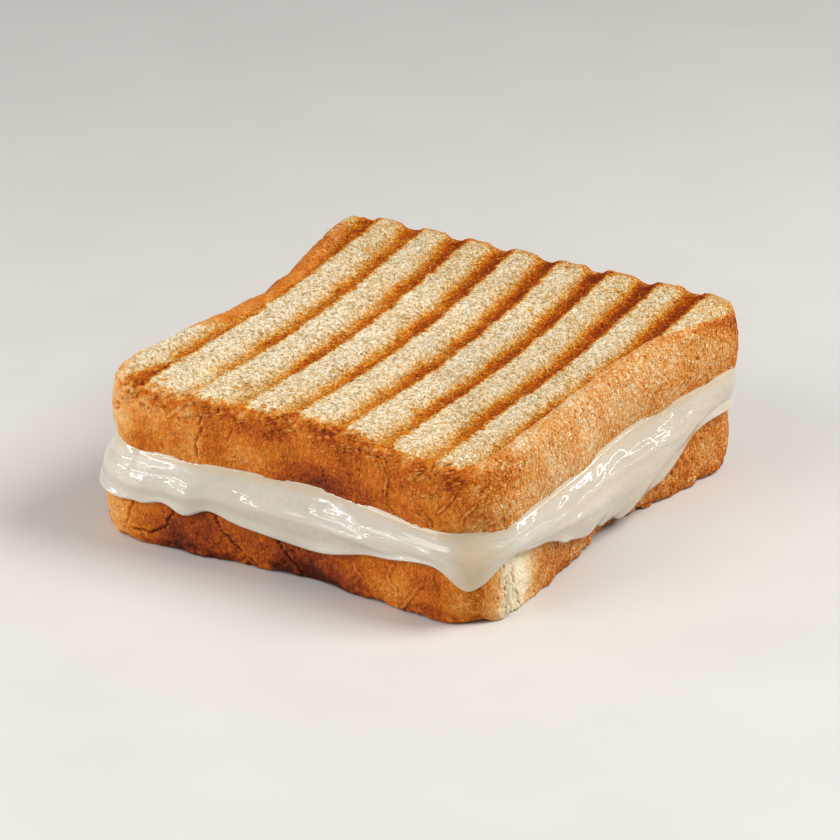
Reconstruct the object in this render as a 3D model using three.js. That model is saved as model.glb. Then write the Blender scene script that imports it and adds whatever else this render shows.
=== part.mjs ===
// A grilled cheese sandwich from a ribbed press: two thick slices of a square loaf with a layer of melted
// white cheese between them. Millimetres, +Z up, +X along the front edge, +Y to the back. The origin is
// on the table, under the middle of the whole sandwich.
import * as THREE from "three";

// ---- The slices: width along X, depth along Y, and how each one's crust runs from above ----
// The loaf narrows at the waist and flares again at its crown, towards the back.
const bottomSlice = {
  centre: [-1.1, -3.1],
  corner: { front: 14.5, back: 6 }, // radii seen from above
  half: [55.5, 58.1],
  waist: { left: 3.5, right: 5.6 },
  flare: { left: 3.5, right: 0 },
  hollow: { depth: 3.6, at: 3 }, // how far the front edge bows in, and where along it
  thickness: 17.3,
  roundBelow: 1.4, // radius of the edge under the slice
  roundAbove: 1.2,
  wallBulge: 0.8,
};
const topSlice = {
  centre: [1, -3.2],
  corner: { front: 14.5, back: 7 },
  half: [54.4, 58.5],
  waist: { left: 3.4, right: 3.4 },
  flare: { left: 3, right: 1.5 },
  hollow: { depth: 2.4, at: 6 },
  thickness: 18,
  roundBelow: 1.8,
  roundAbove: 4.2,
  wallBulge: 0.8,
};
const waistAt = 8; // y of the narrowest place
const waistReach = 26;
const crownFrom = 15; // y where the crown starts to flare
const crownOver = 35;
const hollowReach = 26;
const waistFade = 5; // how fast the waist and the hollow fade away from the edge, as powers
const hollowFade = 3;

const clearance = 0.4; // between a slice and the cheese
const cheeseThickness = 6;
const topSliceLevel = bottomSlice.thickness + cheeseThickness;

// ---- Grill marks: grooves that the press leaves in both outer faces ----
const grooves = [-46.2, -32.75, -19.3, -5.85, 7.6, 21.05, 34.5, 46.9, 61.4]; // x of each where y is 0
const grooveHalfWidth = 3.9;
const grooveDepth = { above: 1.9, below: 1.2 };
const petersOut = { front: 0.65, back: 0.4 }; // share of its depth that a groove loses at each end,
const petersFrom = { front: 44, back: 42 }; // from this far out from the middle
const petersOver = 14;
const notchReach = { above: 6, below: 4 };
const grooveSlant = -0.063; // sideways run of a groove for each millimetre towards the back
const grooveBend = -0.0007; // more sideways run behind the middle, with the square of y
const spreadFrom = -6; // x of the straightest groove; the others fan out behind the middle,
const grooveSpread = 1.3e-5; // with the square of their distance from it
const leanFade = 6; // how fast the mesh lines stop following the grooves, towards the sides

// ---- How the slices have bent: both swell towards the back ----
const swellFrom = -19;
const swellOver = 79;
const topSwell = 3.3;
const bottomSwell = 2.2; // of the upper face alone
const frontArch = { height: 0.7, at: 3, reach: 18 }; // of the top slice's front edge, along x
const cornerDroop = { height: -1.4, at: 42, reach: 16 };
const frontFrom = -20; // y where the arch and the droop start to grow, towards the front edge
const frontOver = 40;
const crumbDish = { depth: 1.05, turn: 1.4 }; // how far the press sank the middle of the top face

// ---- Shallow dents round the crust: waves along x, y and z ----
const crustDents = [
  { depth: 0.3, x: 0.31, y: 0.17, z: 0.15, phase: 0 },
  { depth: 0.21, x: 0.12, y: -0.37, z: 0.2, phase: 2 },
];

// ---- Cheese that ran out between the slices and set over the lower crust ----
// Its lip hangs at lipLevel, and each run pulls it lower. A place on the outline is 0 at the front left
// corner, 1 at the front right, 2 at the back right and 3 at the back left.
const lipLevel = 15.2;
const runs = [
  { at: 0.055, reach: 0.168, drop: 4.2 },
  { at: 0.25, reach: 0.03, drop: 2.4 },
  { at: 0.52, reach: 0.19, drop: 5.9 },
  { at: 0.977, reach: 0.064, drop: 5.2 },
  { at: 1.436, reach: 0.155, drop: 8.5 },
  { at: 1.614, reach: 0.098, drop: 9.9 },
  { at: 1.744, reach: 0.078, drop: 3.5 },
  { at: 2.2, reach: 0.1, drop: 4.4 },
  { at: 2.45, reach: 0.12, drop: 2.2 },
  { at: 2.72, reach: 0.09, drop: 6.2 },
  { at: 3.1, reach: 0.12, drop: 3.4 },
  { at: 3.42, reach: 0.11, drop: 6.8 },
  { at: 3.76, reach: 0.09, drop: 3 },
];
const lipThickness = 1.6;
const lipGap = 0.5; // between the hanging cheese and the crust
const lipRound = 0.7; // rise of the lip's edge inside and out
const cheeseBulge = 1.8; // how far the cheese stands out past the crusts
const bulgePerHang = 0.2; // more where it hangs lower
const bulgeShape = [
  { rise: 0.23, share: 0.85 }, // from the lip to the top slice, and the share of the bulge there
  { rise: 0.46, share: 1 },
  { rise: 0.66, share: 0.82 },
  { rise: 0.88, share: 0.45 },
];

// ---- Mesh lines ----
const grooveLines = [-1, -0.45, 0.45, 1]; // across a groove, in half widths
const sideFrom = 0.84; // beyond this share of the width the lines are even
const leastSpacing = 0.01; // between the last groove line and the first even one, as a share
const sideLines = 6;
const cornerLines = 3;
const straightLines = 13;
const edgeLines = { below: 2, wall: 3, above: 3 };

const smooth = (value, from, over) => THREE.MathUtils.smoothstep(value, from, from + over);
const bell = (value, centre, reach) => Math.exp(-(((value - centre) / reach) ** 2));
const mix = THREE.MathUtils.lerp;

// Sideways run at y of a groove that crosses y = 0 at x.
function grooveRun(x, y) {
  return grooveSlant * y + grooveBend * Math.max(0, y) ** 2 + grooveSpread * (x - spreadFrom) ** 2 * y;
}

// A slice seen from above: u and v run from -1 to 1 across and along it, and inset draws the outline in
// all round. Corners turn the square (u, v) into a quarter disc, and lines inside follow the grooves.
function planPoint(slice, u, v, inset) {
  const half = slice.half.map((size) => size - inset);
  const radius = Math.max((v > 0 ? slice.corner.back : slice.corner.front) - inset, 0.5);
  const reach = [Math.abs(u) * half[0], Math.abs(v) * half[1]];
  const past = reach.map((size, axis) => (size - half[axis] + radius) / radius);
  if (past[0] > 0 && past[1] > 0) {
    reach[0] = half[0] - radius + radius * past[0] * Math.sqrt(1 - past[1] ** 2 / 2);
    reach[1] = half[1] - radius + radius * past[1] * Math.sqrt(1 - past[0] ** 2 / 2);
  }
  const x = Math.sign(u) * reach[0];
  const y = Math.sign(v) * reach[1];
  const side = x > 0 ? "right" : "left";
  const pinch = slice.waist[side] * bell(y, waistAt, waistReach);
  const flare = slice.flare[side] * smooth(y, crownFrom, crownOver);
  const towardsSide = (reach[0] / half[0]) ** waistFade;
  const towardsFront = y < 0 ? (reach[1] / half[1]) ** hollowFade : 0;
  const lean = grooveRun(x, y) * (1 - u ** leanFade);
  return [
    x + Math.sign(u) * (flare - pinch) * towardsSide + lean + slice.centre[0],
    y + slice.hollow.depth * bell(x, slice.hollow.at, hollowReach) * towardsFront + slice.centre[1],
  ];
}

// Depth of the grooves at a point, as a share of their full depth.
function grooveShare(x, y) {
  const ends = [
    petersOut.front * smooth(-y, petersFrom.front, petersOver),
    petersOut.back * smooth(y, petersFrom.back, petersOver),
  ];
  let share = 0;
  for (const groove of grooves) {
    const away = Math.min(1, Math.abs(x - groove - grooveRun(groove, y)) / grooveHalfWidth);
    share = Math.max(share, (1 - away ** 3) ** 2);
  }
  return share * (1 - ends[0] - ends[1]);
}

// How far the lower slice has swollen, at a level in it, and how the top slice has bent over the cheese.
function bottomSliceBend(y, level) {
  return (bottomSwell * smooth(y, swellFrom, swellOver) * level) / bottomSlice.thickness;
}

function topSliceBend(x, y) {
  const front = [frontArch, cornerDroop].map((place) => place.height * bell(x, place.at, place.reach));
  const towardsFront = smooth(-y, -frontFrom, frontOver);
  return topSwell * smooth(y, swellFrom, swellOver) + (front[0] + front[1]) * towardsFront;
}

function crustRelief(x, y, z) {
  let relief = 0;
  for (const dent of crustDents) {
    relief += dent.depth * Math.sin(dent.x * x + dent.y * y + dent.z * z + dent.phase);
  }
  return relief;
}

// How far the wall of a slice stands out at a level, dents and all.
function wallReach(slice, x, y, z) {
  const share = (z - slice.roundBelow) / (slice.thickness - slice.roundAbove - slice.roundBelow);
  return slice.wallBulge * Math.sin(Math.PI * THREE.MathUtils.clamp(share, 0, 1)) + crustRelief(x, y, z);
}

// The slice's edge from its lower face to its upper face: a round edge, a wall and a round edge.
function edgeProfile({ thickness, roundBelow, roundAbove }) {
  const rows = [];
  for (let row = 0; row <= edgeLines.below; row++) {
    const turn = ((row / edgeLines.below) * Math.PI) / 2;
    rows.push({ inset: roundBelow * (1 - Math.sin(turn)), z: roundBelow * (1 - Math.cos(turn)) });
  }
  for (let row = 1; row < edgeLines.wall; row++) {
    rows.push({ inset: 0, z: mix(roundBelow, thickness - roundAbove, row / edgeLines.wall) });
  }
  for (let row = 0; row <= edgeLines.above; row++) {
    const turn = ((row / edgeLines.above) * Math.PI) / 2;
    const drop = roundAbove * (1 - Math.sin(turn));
    rows.push({ inset: roundAbove * (1 - Math.cos(turn)), z: thickness - drop });
  }
  return rows;
}

// Mesh lines across a slice: at each groove, and evenly towards both sides.
function linesAcross(slice) {
  const inner = slice.half[0] - slice.roundAbove;
  const lines = [];
  for (const groove of grooves) {
    const centre = groove - slice.centre[0];
    for (const line of grooveLines) lines.push((centre + line * grooveHalfWidth) / inner);
  }
  const between = lines.filter((line) => Math.abs(line) < sideFrom - leastSpacing);
  const right = Array.from({ length: sideLines + 1 }, (_, line) => mix(sideFrom, 1, line / sideLines));
  return [...right.toReversed().map((line) => -line), ...between, ...right];
}

// Mesh lines along a slice, closer together at the corners.
function linesAlong(slice) {
  const front = slice.corner.front / slice.half[1] - 1;
  const back = 1 - slice.corner.back / slice.half[1];
  const lines = [];
  for (let line = 0; line < cornerLines; line++) lines.push(mix(-1, front, line / cornerLines));
  for (let line = 0; line < straightLines; line++) lines.push(mix(front, back, line / straightLines));
  for (let line = 0; line <= cornerLines; line++) lines.push(mix(back, 1, line / cornerLines));
  return lines;
}

// A box whose grid is bent into a slice; height(x, y, z) gives each point its height.
function sliceGeometry(slice, height) {
  const lines = [linesAcross(slice), linesAlong(slice), edgeProfile(slice)];
  const geometry = new THREE.BoxGeometry(2, 2, 2, ...lines.map((list) => list.length - 1));
  const corner = new THREE.Vector3();
  const position = geometry.attributes.position;
  for (let index = 0; index < position.count; index++) {
    corner.fromBufferAttribute(position, index);
    const [u, v, edge] = corner.toArray().map((value, axis) => {
      const list = lines[axis];
      return list[Math.round(((value + 1) / 2) * (list.length - 1))];
    });
    const wall = planPoint(slice, u, v, 0);
    const onWall = Math.max(Math.abs(u), Math.abs(v)) === 1 && edge.inset < 1;
    const out = onWall ? wallReach(slice, ...wall, edge.z) : 0;
    const [x, y] = planPoint(slice, u, v, edge.inset - out);
    position.setXYZ(index, x, y, height(x, y, edge.z));
  }
  return geometry;
}

// Heights in the slices. The lower one lies on the lands between its grooves.
// A groove also notches the edge that it runs out over, down to notchReach below the face.
function bottomSliceHeight(x, y, z) {
  const groove = grooveDepth.below * grooveShare(x, y) * (1 - smooth(z, 0, notchReach.below));
  return z + groove + bottomSliceBend(y, z);
}

function topSliceHeight(x, y, z) {
  const turns = [x / topSlice.half[0], y / topSlice.half[1]].map((share) => crumbDish.turn * share);
  const dish = (crumbDish.depth * Math.cos(turns[0]) * Math.cos(turns[1]) * z) / topSlice.thickness;
  const notchFrom = topSlice.thickness - notchReach.above;
  const groove = grooveDepth.above * grooveShare(x, y) * smooth(z, notchFrom, notchReach.above);
  return topSliceLevel + z - groove - dish + topSliceBend(x, y);
}

// Height of the cheese's hanging lip at a place on the outline.
function lipHeight(place) {
  let level = lipLevel;
  for (const run of runs) {
    const away = Math.abs(place - run.at);
    level -= run.drop * bell(Math.min(away, 4 - away), 0, run.reach);
  }
  return level;
}

// The cheese from the middle of its lower face out over the lower crust, down inside its lip, up the
// outside and back to the middle of its upper face. Within is how far a ring is drawn to the middle,
// out its distance from the crusts, and follow says which slice it follows, from 0, lower, to 1, upper.
function cheeseRings(lip) {
  const floor = bottomSlice.thickness + clearance;
  const ceiling = topSliceLevel - clearance;
  const shoulder = bottomSlice.thickness - bottomSlice.roundAbove;
  const bulge = cheeseBulge + bulgePerHang * (bottomSlice.thickness - lip);
  return [
    { within: 0, out: -2, z: floor },
    { within: 0.5, out: -2, z: floor },
    { within: 1, out: -2, z: floor },
    { within: 1, out: -0.1, z: floor - 0.1 },
    { within: 1, out: lipGap, z: shoulder, onWall: true },
    { within: 1, out: lipGap, z: mix(shoulder, lip, 0.5), onWall: true },
    { within: 1, out: lipGap + 0.1, z: lip + lipRound, onWall: true },
    { within: 1, out: lipGap + lipThickness / 2, z: lip, onWall: true },
    { within: 1, out: lipGap + lipThickness, z: lip + lipRound, onWall: true },
    ...bulgeShape.map(({ rise, share }) => ({
      within: 1,
      out: share * bulge,
      z: mix(lip, ceiling, rise),
      follow: rise,
    })),
    { within: 1, out: -1, z: ceiling, follow: 1 },
    { within: 0.66, out: -1, z: ceiling, follow: 1 },
    { within: 0.33, out: -1, z: ceiling, follow: 1 },
    { within: 0, out: -1, z: ceiling, follow: 1 },
  ];
}

// The outline's mesh points in order, from the front left corner, each with its place on the outline.
function outlinePoints(slice) {
  const across = linesAcross(slice);
  const along = linesAlong(slice);
  const sides = [
    across.map((line) => [line, -1]),
    along.map((line) => [1, line]),
    across.toReversed().map((line) => [line, 1]),
    along.toReversed().map((line) => [-1, line]),
  ];
  return sides.flatMap((side, number) => {
    const axis = number % 2;
    return side.slice(0, -1).map(([u, v]) => {
      const line = axis === 0 ? u : v;
      const done = number < 2 ? (1 + line) / 2 : (1 - line) / 2;
      return { u, v, place: number + done };
    });
  });
}

function cheeseGeometry() {
  const points = outlinePoints(bottomSlice);
  const rings = cheeseRings(lipLevel).length;
  const profile = [];
  for (let ring = 0; ring < rings; ring++) {
    profile.push(new THREE.Vector2(ring === 0 || ring === rings - 1 ? 0 : 1, ring));
  }
  const geometry = new THREE.LatheGeometry(profile, points.length);
  const position = geometry.attributes.position;
  for (let index = 0; index < position.count; index++) {
    const { u, v, place } = points[Math.floor(index / rings) % points.length];
    const { within, out, z, follow = 0, onWall = false } = cheeseRings(lipHeight(place))[index % rings];
    const wall = planPoint(bottomSlice, u, v, 0);
    const reach = out + (onWall ? wallReach(bottomSlice, ...wall, z) : 0);
    const lower = planPoint(bottomSlice, u * within, v * within, -reach);
    const upper = planPoint(topSlice, u * within, v * within, -reach);
    const x = mix(lower[0], upper[0], follow);
    const y = mix(lower[1], upper[1], follow);
    position.setXYZ(index, x, y, z + mix(bottomSliceBend(y, z), topSliceBend(x, y), follow));
  }
  return geometry;
}

function piece(name, geometry, color, roughness) {
  const mesh = new THREE.Mesh(geometry, new THREE.MeshStandardMaterial({ color, roughness, metalness: 0 }));
  mesh.name = name;
  return mesh;
}

const crustColor = 0xb5722f;
const grilledColor = 0xd9a860;
const cheeseColor = 0xe9e2cf;

const sandwich = new THREE.Group();
sandwich.add(
  piece("bottom_slice", sliceGeometry(bottomSlice, bottomSliceHeight), crustColor, 0.8),
  piece("melted_cheese", cheeseGeometry(), cheeseColor, 0.3),
  piece("top_slice", sliceGeometry(topSlice, topSliceHeight), grilledColor, 0.8),
);

// Bring the origin under the middle.
const middle = new THREE.Box3().setFromObject(sandwich).getCenter(new THREE.Vector3());
sandwich.position.set(-middle.x, -middle.y, 0);

export default sandwich;
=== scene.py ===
import math
import random

import bmesh
import bpy
from mathutils import Matrix, Vector, noise


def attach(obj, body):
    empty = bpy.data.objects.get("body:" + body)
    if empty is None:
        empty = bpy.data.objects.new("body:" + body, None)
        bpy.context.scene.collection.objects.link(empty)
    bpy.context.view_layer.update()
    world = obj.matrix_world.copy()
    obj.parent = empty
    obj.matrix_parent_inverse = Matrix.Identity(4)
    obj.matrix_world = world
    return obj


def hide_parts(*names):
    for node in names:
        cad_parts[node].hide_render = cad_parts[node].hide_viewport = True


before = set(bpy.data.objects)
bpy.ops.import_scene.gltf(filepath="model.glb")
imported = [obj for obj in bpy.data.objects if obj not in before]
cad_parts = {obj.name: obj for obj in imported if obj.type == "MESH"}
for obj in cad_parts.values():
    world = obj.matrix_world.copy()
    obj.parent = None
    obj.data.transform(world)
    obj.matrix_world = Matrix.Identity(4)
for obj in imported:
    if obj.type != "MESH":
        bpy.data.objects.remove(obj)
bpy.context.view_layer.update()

MILLIMETRE = 0.001
MIDDLE = (-2.4808, -2.7676)  # what stands over the origin, in the sandwich's own plan

# ---- The slices: width along X, depth along Y, sides named left then right ----
BOTTOM_SLICE = {
    "centre": (-1.1, -3.1),
    "corner": {"front": 14.5, "back": 6},
    "half": (55.5, 58.1),
    "waist": (3.5, 5.6),
    "flare": (3.5, 0),
    "hollow": (3.6, 3),  # how far the front edge bows in, and where along it
    "thickness": 17.3,
    "round_below": 1.4,
    "round_above": 1.2,
    "bulge": 0.8,
}
TOP_SLICE = {
    "centre": (1, -3.2),
    "corner": {"front": 14.5, "back": 7},
    "half": (54.4, 58.5),
    "waist": (3.4, 3.4),
    "flare": (3, 1.5),
    "hollow": (2.4, 6),
    "thickness": 18,
    "round_below": 1.8,
    "round_above": 4.2,
    "bulge": 0.8,
}
TOP_SLICE_LEVEL = 23.3
CLEARANCE = 0.4  # between a slice and the cheese
POINT_SPACING = 0.44  # of a slice's mesh, down its wall
TOP_GRID, BOTTOM_GRID = (210, 224), (196, 206)  # columns and rows of the slices' faces
CAP_RINGS, CAP_SPACING = 5, 10.5  # rings that close a slice's hidden side, and how far apart they lie
CHEESE_COLUMNS, CHEESE_STEPS = 960, 6  # points round the cheese, and between two points of its profile

GROOVES = (-46.2, -32.75, -19.3, -5.85, 7.6, 21.05, 34.5, 46.9, 61.4)  # where each crosses the middle
GROOVE_HALF_WIDTH = 3.9
GROOVE_ABOVE, NOTCH_ABOVE = 1.9, 6  # depth, and how far down the edge a groove notches it
GROOVE_BELOW, NOTCH_BELOW = 1.2, 4
DISH = 1.05  # how deep the upper face is dished

# ---- The cheese's forms. Places count the corners from the front left one, anticlockwise from above. ----
LIP_LEVEL = 15.2  # where the cheese's lower lip lies between its runs
# Cheese that ran out: where on the outline, how wide, how far down.
RUNS = (
    (0.055, 0.168, 4.2),
    (0.25, 0.03, 2.4),
    (0.52, 0.19, 5.9),
    (0.977, 0.064, 5.2),
    (1.436, 0.155, 8.5),
    (1.614, 0.098, 9.9),
    (1.744, 0.078, 3.5),
    (2.2, 0.1, 4.4),
    (2.45, 0.12, 2.2),
    (2.72, 0.09, 6.2),
    (3.1, 0.12, 3.4),
    (3.42, 0.11, 6.8),
    (3.76, 0.09, 3),
)
# Small drips and scallops along the lip's edge.
DRIPS = (
    (0.155, 0.022, 0.7),
    (0.36, 0.04, 0.5),
    (0.74, 0.05, 0.4),
    (0.985, 0.03, 0.2),
    (1.12, 0.05, -0.5),
    (1.30, 0.02, 0.5),
    (1.505, 0.02, 0.9),
    (1.555, 0.012, -0.7),
    (1.60, 0.018, 0.8),
    (1.70, 0.014, 0.5),
    (2.33, 0.03, 0.8),
    (2.66, 0.02, 0.7),
    (3.25, 0.03, 0.7),
    (3.5, 0.02, 0.8),
)
# Where the cheese bulges out more, above 0, or less: place on the outline, reach and amount.
CHEESE_BULGES = ((1.42, 0.3, 0.9), (1.99, 0.13, -1.1), (3.97, 0.12, -0.9), (1.0, 0.08, 0.4))
THIN_LIP, THIN_LIP_REACH = 3.97, 0.12  # where the rolled lip is half its size
RUNNY_SIDE, RUNNY_SIDE_REACH = 1.45, 0.45  # where the folds are deepest
CLEAR_CORNER, CLEAR_CORNER_REACH = 0.985, 0.06  # where the bread shows through
# Long folds where the cheese was drawn out: height, width, and the places and heights they run through.
CHEESE_FOLDS = (
    (0.6, 1.3, ((0.36, 17.8), (0.51, 17.2), (0.64, 16.6), (0.8, 14.8))),
    (0.25, 1.2, ((0.04, 16.4), (0.15, 16), (0.24, 16.6), (0.34, 17))),
    (0.35, 1.1, ((1.18, 16), (1.3, 16.4), (1.42, 15), (1.56, 13.6))),
    (0.3, 1.1, ((1.2, 19.4), (1.4, 19.6), (1.6, 18), (1.76, 17))),
    (0.4, 1.3, ((2.3, 16), (2.5, 17), (2.7, 16.2))),
    (0.4, 1.3, ((3.2, 17), (3.45, 16), (3.65, 17))),
)
FOLD_END = 0.08  # how much of the outline a fold takes to fade out


# ---- Plain helpers ----
def smooth(value, start, over):
    share = min(max((value - start) / over, 0), 1)
    return share * share * (3 - 2 * share)


def bell(value, centre, reach):
    return math.exp(-(((value - centre) / reach) ** 2))


def mix(low, high, share):
    return low + (high - low) * share


def lumps_at(x, y, z, size, seed):
    return Vector((x / size + seed, y / size - 2 * seed, z / size + 3 * seed))


def rough(x, y, z, size, seed):
    """Soft noise from -1 to 1 with lumps of one size, in millimetres. Every seed gives other lumps."""
    return noise.noise(lumps_at(x, y, z, size, seed))


def silky(x, y, z, size, seed):
    """Like rough, but without any line where its curve changes, so that it also looks right in gloss."""
    return noise.noise(lumps_at(x, y, z, size, seed), noise_basis="PERLIN_NEW")


def from_table(rows, at):
    """The value at a place in a table of (place, value) rows, straight between them."""
    if at <= rows[0][0]:
        return rows[0][1]
    for (low, first), (high, second) in zip(rows, rows[1:]):
        if at <= high:
            return mix(first, second, (at - low) / (high - low))
    return rows[-1][1]


def round_the_outline(place, at):
    """How far a place on the outline is from another, the shorter way round."""
    away = abs(place - at) % 4
    return min(away, 4 - away)


# ---- The forms that both slices share ----
def groove_run(x, y):
    """How far to the side a groove has wandered by y. The grooves slant, and fan out a little."""
    return -0.063 * y - 0.0007 * max(0, y) ** 2 + 1.3e-5 * (x + 6) ** 2 * y


def across_groove(x, y):
    """Which groove is nearest, and how far across it a point is, from -1 on its left to 1."""
    nearest = (0, 9.0)
    for number, start in enumerate(GROOVES):
        across = (x - start - groove_run(start, y)) / GROOVE_HALF_WIDTH
        if abs(across) < abs(nearest[1]):
            nearest = (number, across)
    return nearest


def groove_share(across, y):
    """How deep a groove is pressed, from 0 to 1. Grooves peter out towards the front and back edges."""
    fade = 1 - 0.65 * smooth(-y, 44, 14) - 0.4 * smooth(y, 42, 14)
    return (1 - min(1, abs(across)) ** 3) ** 2 * fade


def plan_point(piece, u, v, inset):
    """A point of a slice from above. u and v run from -1 to 1, and inset draws it in from the crust."""
    half = [size - inset for size in piece["half"]]
    radius = max(piece["corner"]["back" if v > 0 else "front"] - inset, 0.5)
    reach = [abs(u) * half[0], abs(v) * half[1]]
    p = (reach[0] - half[0] + radius) / radius
    q = (reach[1] - half[1] + radius) / radius
    if p > 0 and q > 0:
        reach[0] = half[0] - radius + radius * p * math.sqrt(1 - q * q / 2)
        reach[1] = half[1] - radius + radius * q * math.sqrt(1 - p * p / 2)
    x = math.copysign(reach[0], u)
    y = math.copysign(reach[1], v)
    side = 0 if u < 0 else 1
    pinch = piece["waist"][side] * bell(y, 8, 26)
    flare = piece["flare"][side] * smooth(y, 15, 35)
    towards_side = (reach[0] / half[0]) ** 5
    towards_front = (reach[1] / half[1]) ** 3 if y < 0 else 0
    lean = groove_run(x, y) * (1 - u**6)
    depth, at = piece["hollow"]
    return (
        x + math.copysign(1, u) * (flare - pinch) * towards_side + lean + piece["centre"][0],
        y + depth * bell(x, at, 26) * towards_front + piece["centre"][1],
    )


def square(place):
    """The u and v of a place on the outline."""
    corner = int(place) % 4
    along = 2 * (place - int(place)) - 1
    return ((along, -1), (1, along), (-along, 1), (-1, -along))[corner]


def place_of(u, v):
    """The place on the outline that a point of a slice is nearest to."""
    if abs(u) > abs(v):
        return 1 + (1 + v / abs(u)) / 2 if u > 0 else 3 + (1 - v / abs(u)) / 2
    if v == 0:
        return 0.5
    return (1 + u / abs(v)) / 2 if v < 0 else 2 + (1 - u / abs(v)) / 2


def bottom_bend(y, level):
    """How far the lower slice rises at a depth. It lies flat, and swells towards the back."""
    return 2.2 * smooth(y, -19, 79) * level / BOTTOM_SLICE["thickness"]


def top_bend(x, y):
    """How far the upper slice is bent up: at the back, and unevenly along the front edge."""
    front = 0.7 * bell(x, 3, 18) - 1.4 * bell(x, 42, 16)
    return 3.3 * smooth(y, -19, 79) + front * smooth(-y, 20, 40)


def wall_reach(piece, x, y, z):
    """How far a slice's wall stands out at a height: its bulge, and soft dents."""
    straight = piece["thickness"] - piece["round_above"] - piece["round_below"]
    up = min(max((z - piece["round_below"]) / straight, 0), 1)
    dents = 0.3 * math.sin(0.31 * x + 0.17 * y + 0.15 * z)
    dents += 0.21 * math.sin(0.12 * x - 0.37 * y + 0.2 * z + 2)
    return piece["bulge"] * math.sin(math.pi * up) + dents


# ---- Browning ----
# Where the crust of each slice is darker, above 0, or paler: place on the outline, reach and amount.
TOP_CRUST_TONES = (
    (0.03, 0.1, -0.06),
    (0.3, 0.1, 0.1),
    (0.55, 0.18, 0.2),
    (0.88, 0.1, 0.12),
    (1.06, 0.07, 0.08),
    (1.45, 0.4, -0.13),
    (2.0, 0.1, 0.1),
    (2.5, 0.3, 0.12),
)
BOTTOM_CRUST_TONES = (
    (0.02, 0.09, -0.14),
    (0.25, 0.1, 0.28),
    (0.52, 0.17, 0.28),
    (0.88, 0.09, 0.08),
    (1.2, 0.1, -0.1),
    (1.6, 0.35, -0.05),
    (2.5, 0.3, 0.12),
    (3.4, 0.3, 0.05),
)
# Scorched spots, above 0, and pale ones: place, height, reach along and up in millimetres, and amount.
TOP_SCORCHES = (
    (0.052, 6, 5, 4, -0.08),
    (0.12, 3, 8, 4.5, 0.2),
    (0.148, 14.2, 3, 1.6, 0.2),
    (0.276, 15, 4, 2, 0.12),
    (0.348, 13.2, 3, 2.4, 0.14),
    (0.428, 13.2, 4, 2, 0.12),
    (0.58, 3, 12, 4.5, 0.22),
    (0.76, 11, 5, 2.6, 0.2),
    (0.84, 12.6, 4, 1.6, 0.12),
    (0.93, 14, 5, 1.8, 0.2),
    (1.01, 17.6, 3, 2, -0.2),
    (1.16, 17.8, 4, 2, -0.2),
    (1.862, 16.2, 3, 1, 0.16),
    (1.905, 14.8, 3.5, 1.6, 0.18),
    (1.95, 13.4, 3.5, 2.2, 0.2),
    (1.99, 11.8, 3, 2.6, 0.2),
)
BOTTOM_SCORCHES = (
    (0.2, 3, 5, 5, 0.16),
    (0.5, 2, 8, 4, 0.16),
    (0.61, 0.8, 7, 3, 0.16),
    (0.856, 3.2, 2.4, 1.6, 0.16),
    (0.956, 7, 4, 5, -0.06),
)
FAINT = 2.5  # a spot is too faint to count this many reaches away
# How far in from the rim the crust starts along each side, by how far back. Below 0 the crumb carries on
# over the shoulder.
RIGHT_RIM = ((-30, 1.8), (-10, 1.6), (10, 1.2), (19, 1), (25, -0.1), (36, -0.8), (50, -2.4), (56, -4))
LEFT_RIM = (
    (-52, 1.6),
    (-44, -0.6),
    (-30, -0.8),
    (-16, 1.2),
    (0, 2),
    (30, 2.4),
    (40, 1.6),
    (47, -0.8),
    (56, -1),
)
FRONT_OVERHANG = 2.8  # how far the crumb carries on over the front shoulder
# The torn corner of the lower slice: how brown its crust is from place to place.
TORN_CORNER = (
    (1.0, 0.5),
    (1.045, 0.34),
    (1.068, 0.14),
    (1.084, -0.05),
    (1.14, -0.06),
    (1.17, 0.1),
    (1.23, 0.28),
)


def crust_tone(tones, scorches, place, z):
    """How much darker the crust is at a place and height, from the tables above."""
    tone = sum(amount * bell(round_the_outline(place, at), 0, reach) for at, reach, amount in tones)
    for at, height, reach, rise, amount in scorches:
        away = SIDE_LENGTH * round_the_outline(place, at) / reach
        if away < FAINT:
            tone += amount * bell(math.hypot(away, (z - height) / rise), 0, 1)
    return tone


def band_tone(number, across, x, y, weak):
    """How brown a grill band is, partly painted light and shade: golden on its left slope, as if lit,
    darkest right of the middle, where the groove's shaded wall is painted, then a sharp end.

    Bands are paler towards the front by weak, and number 0 breaks off there.
    """
    left = smooth(across, -0.98, 1.1)
    right = 1 - smooth(across, 0.92, 0.4)
    strength = mix(0.52, 0.7, smooth(number, 0.5, 3)) + 0.1 * smooth(y, 10, 50)
    if number == 0:
        strength += 0.12 * smooth(-y, 40, 8) - 0.4 * bell(y, -42.5, 2)
    else:
        strength -= weak * smooth(-y, 26, 26)
    strength += 0.13 * smooth(across, -0.1, 0.8) + 0.16 * rough(x, y, 3 * number, 9, 4)
    return strength * left * right


# ---- Relief ----
SIDE_LENGTH = 114  # millimetres of outline for each whole place
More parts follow.
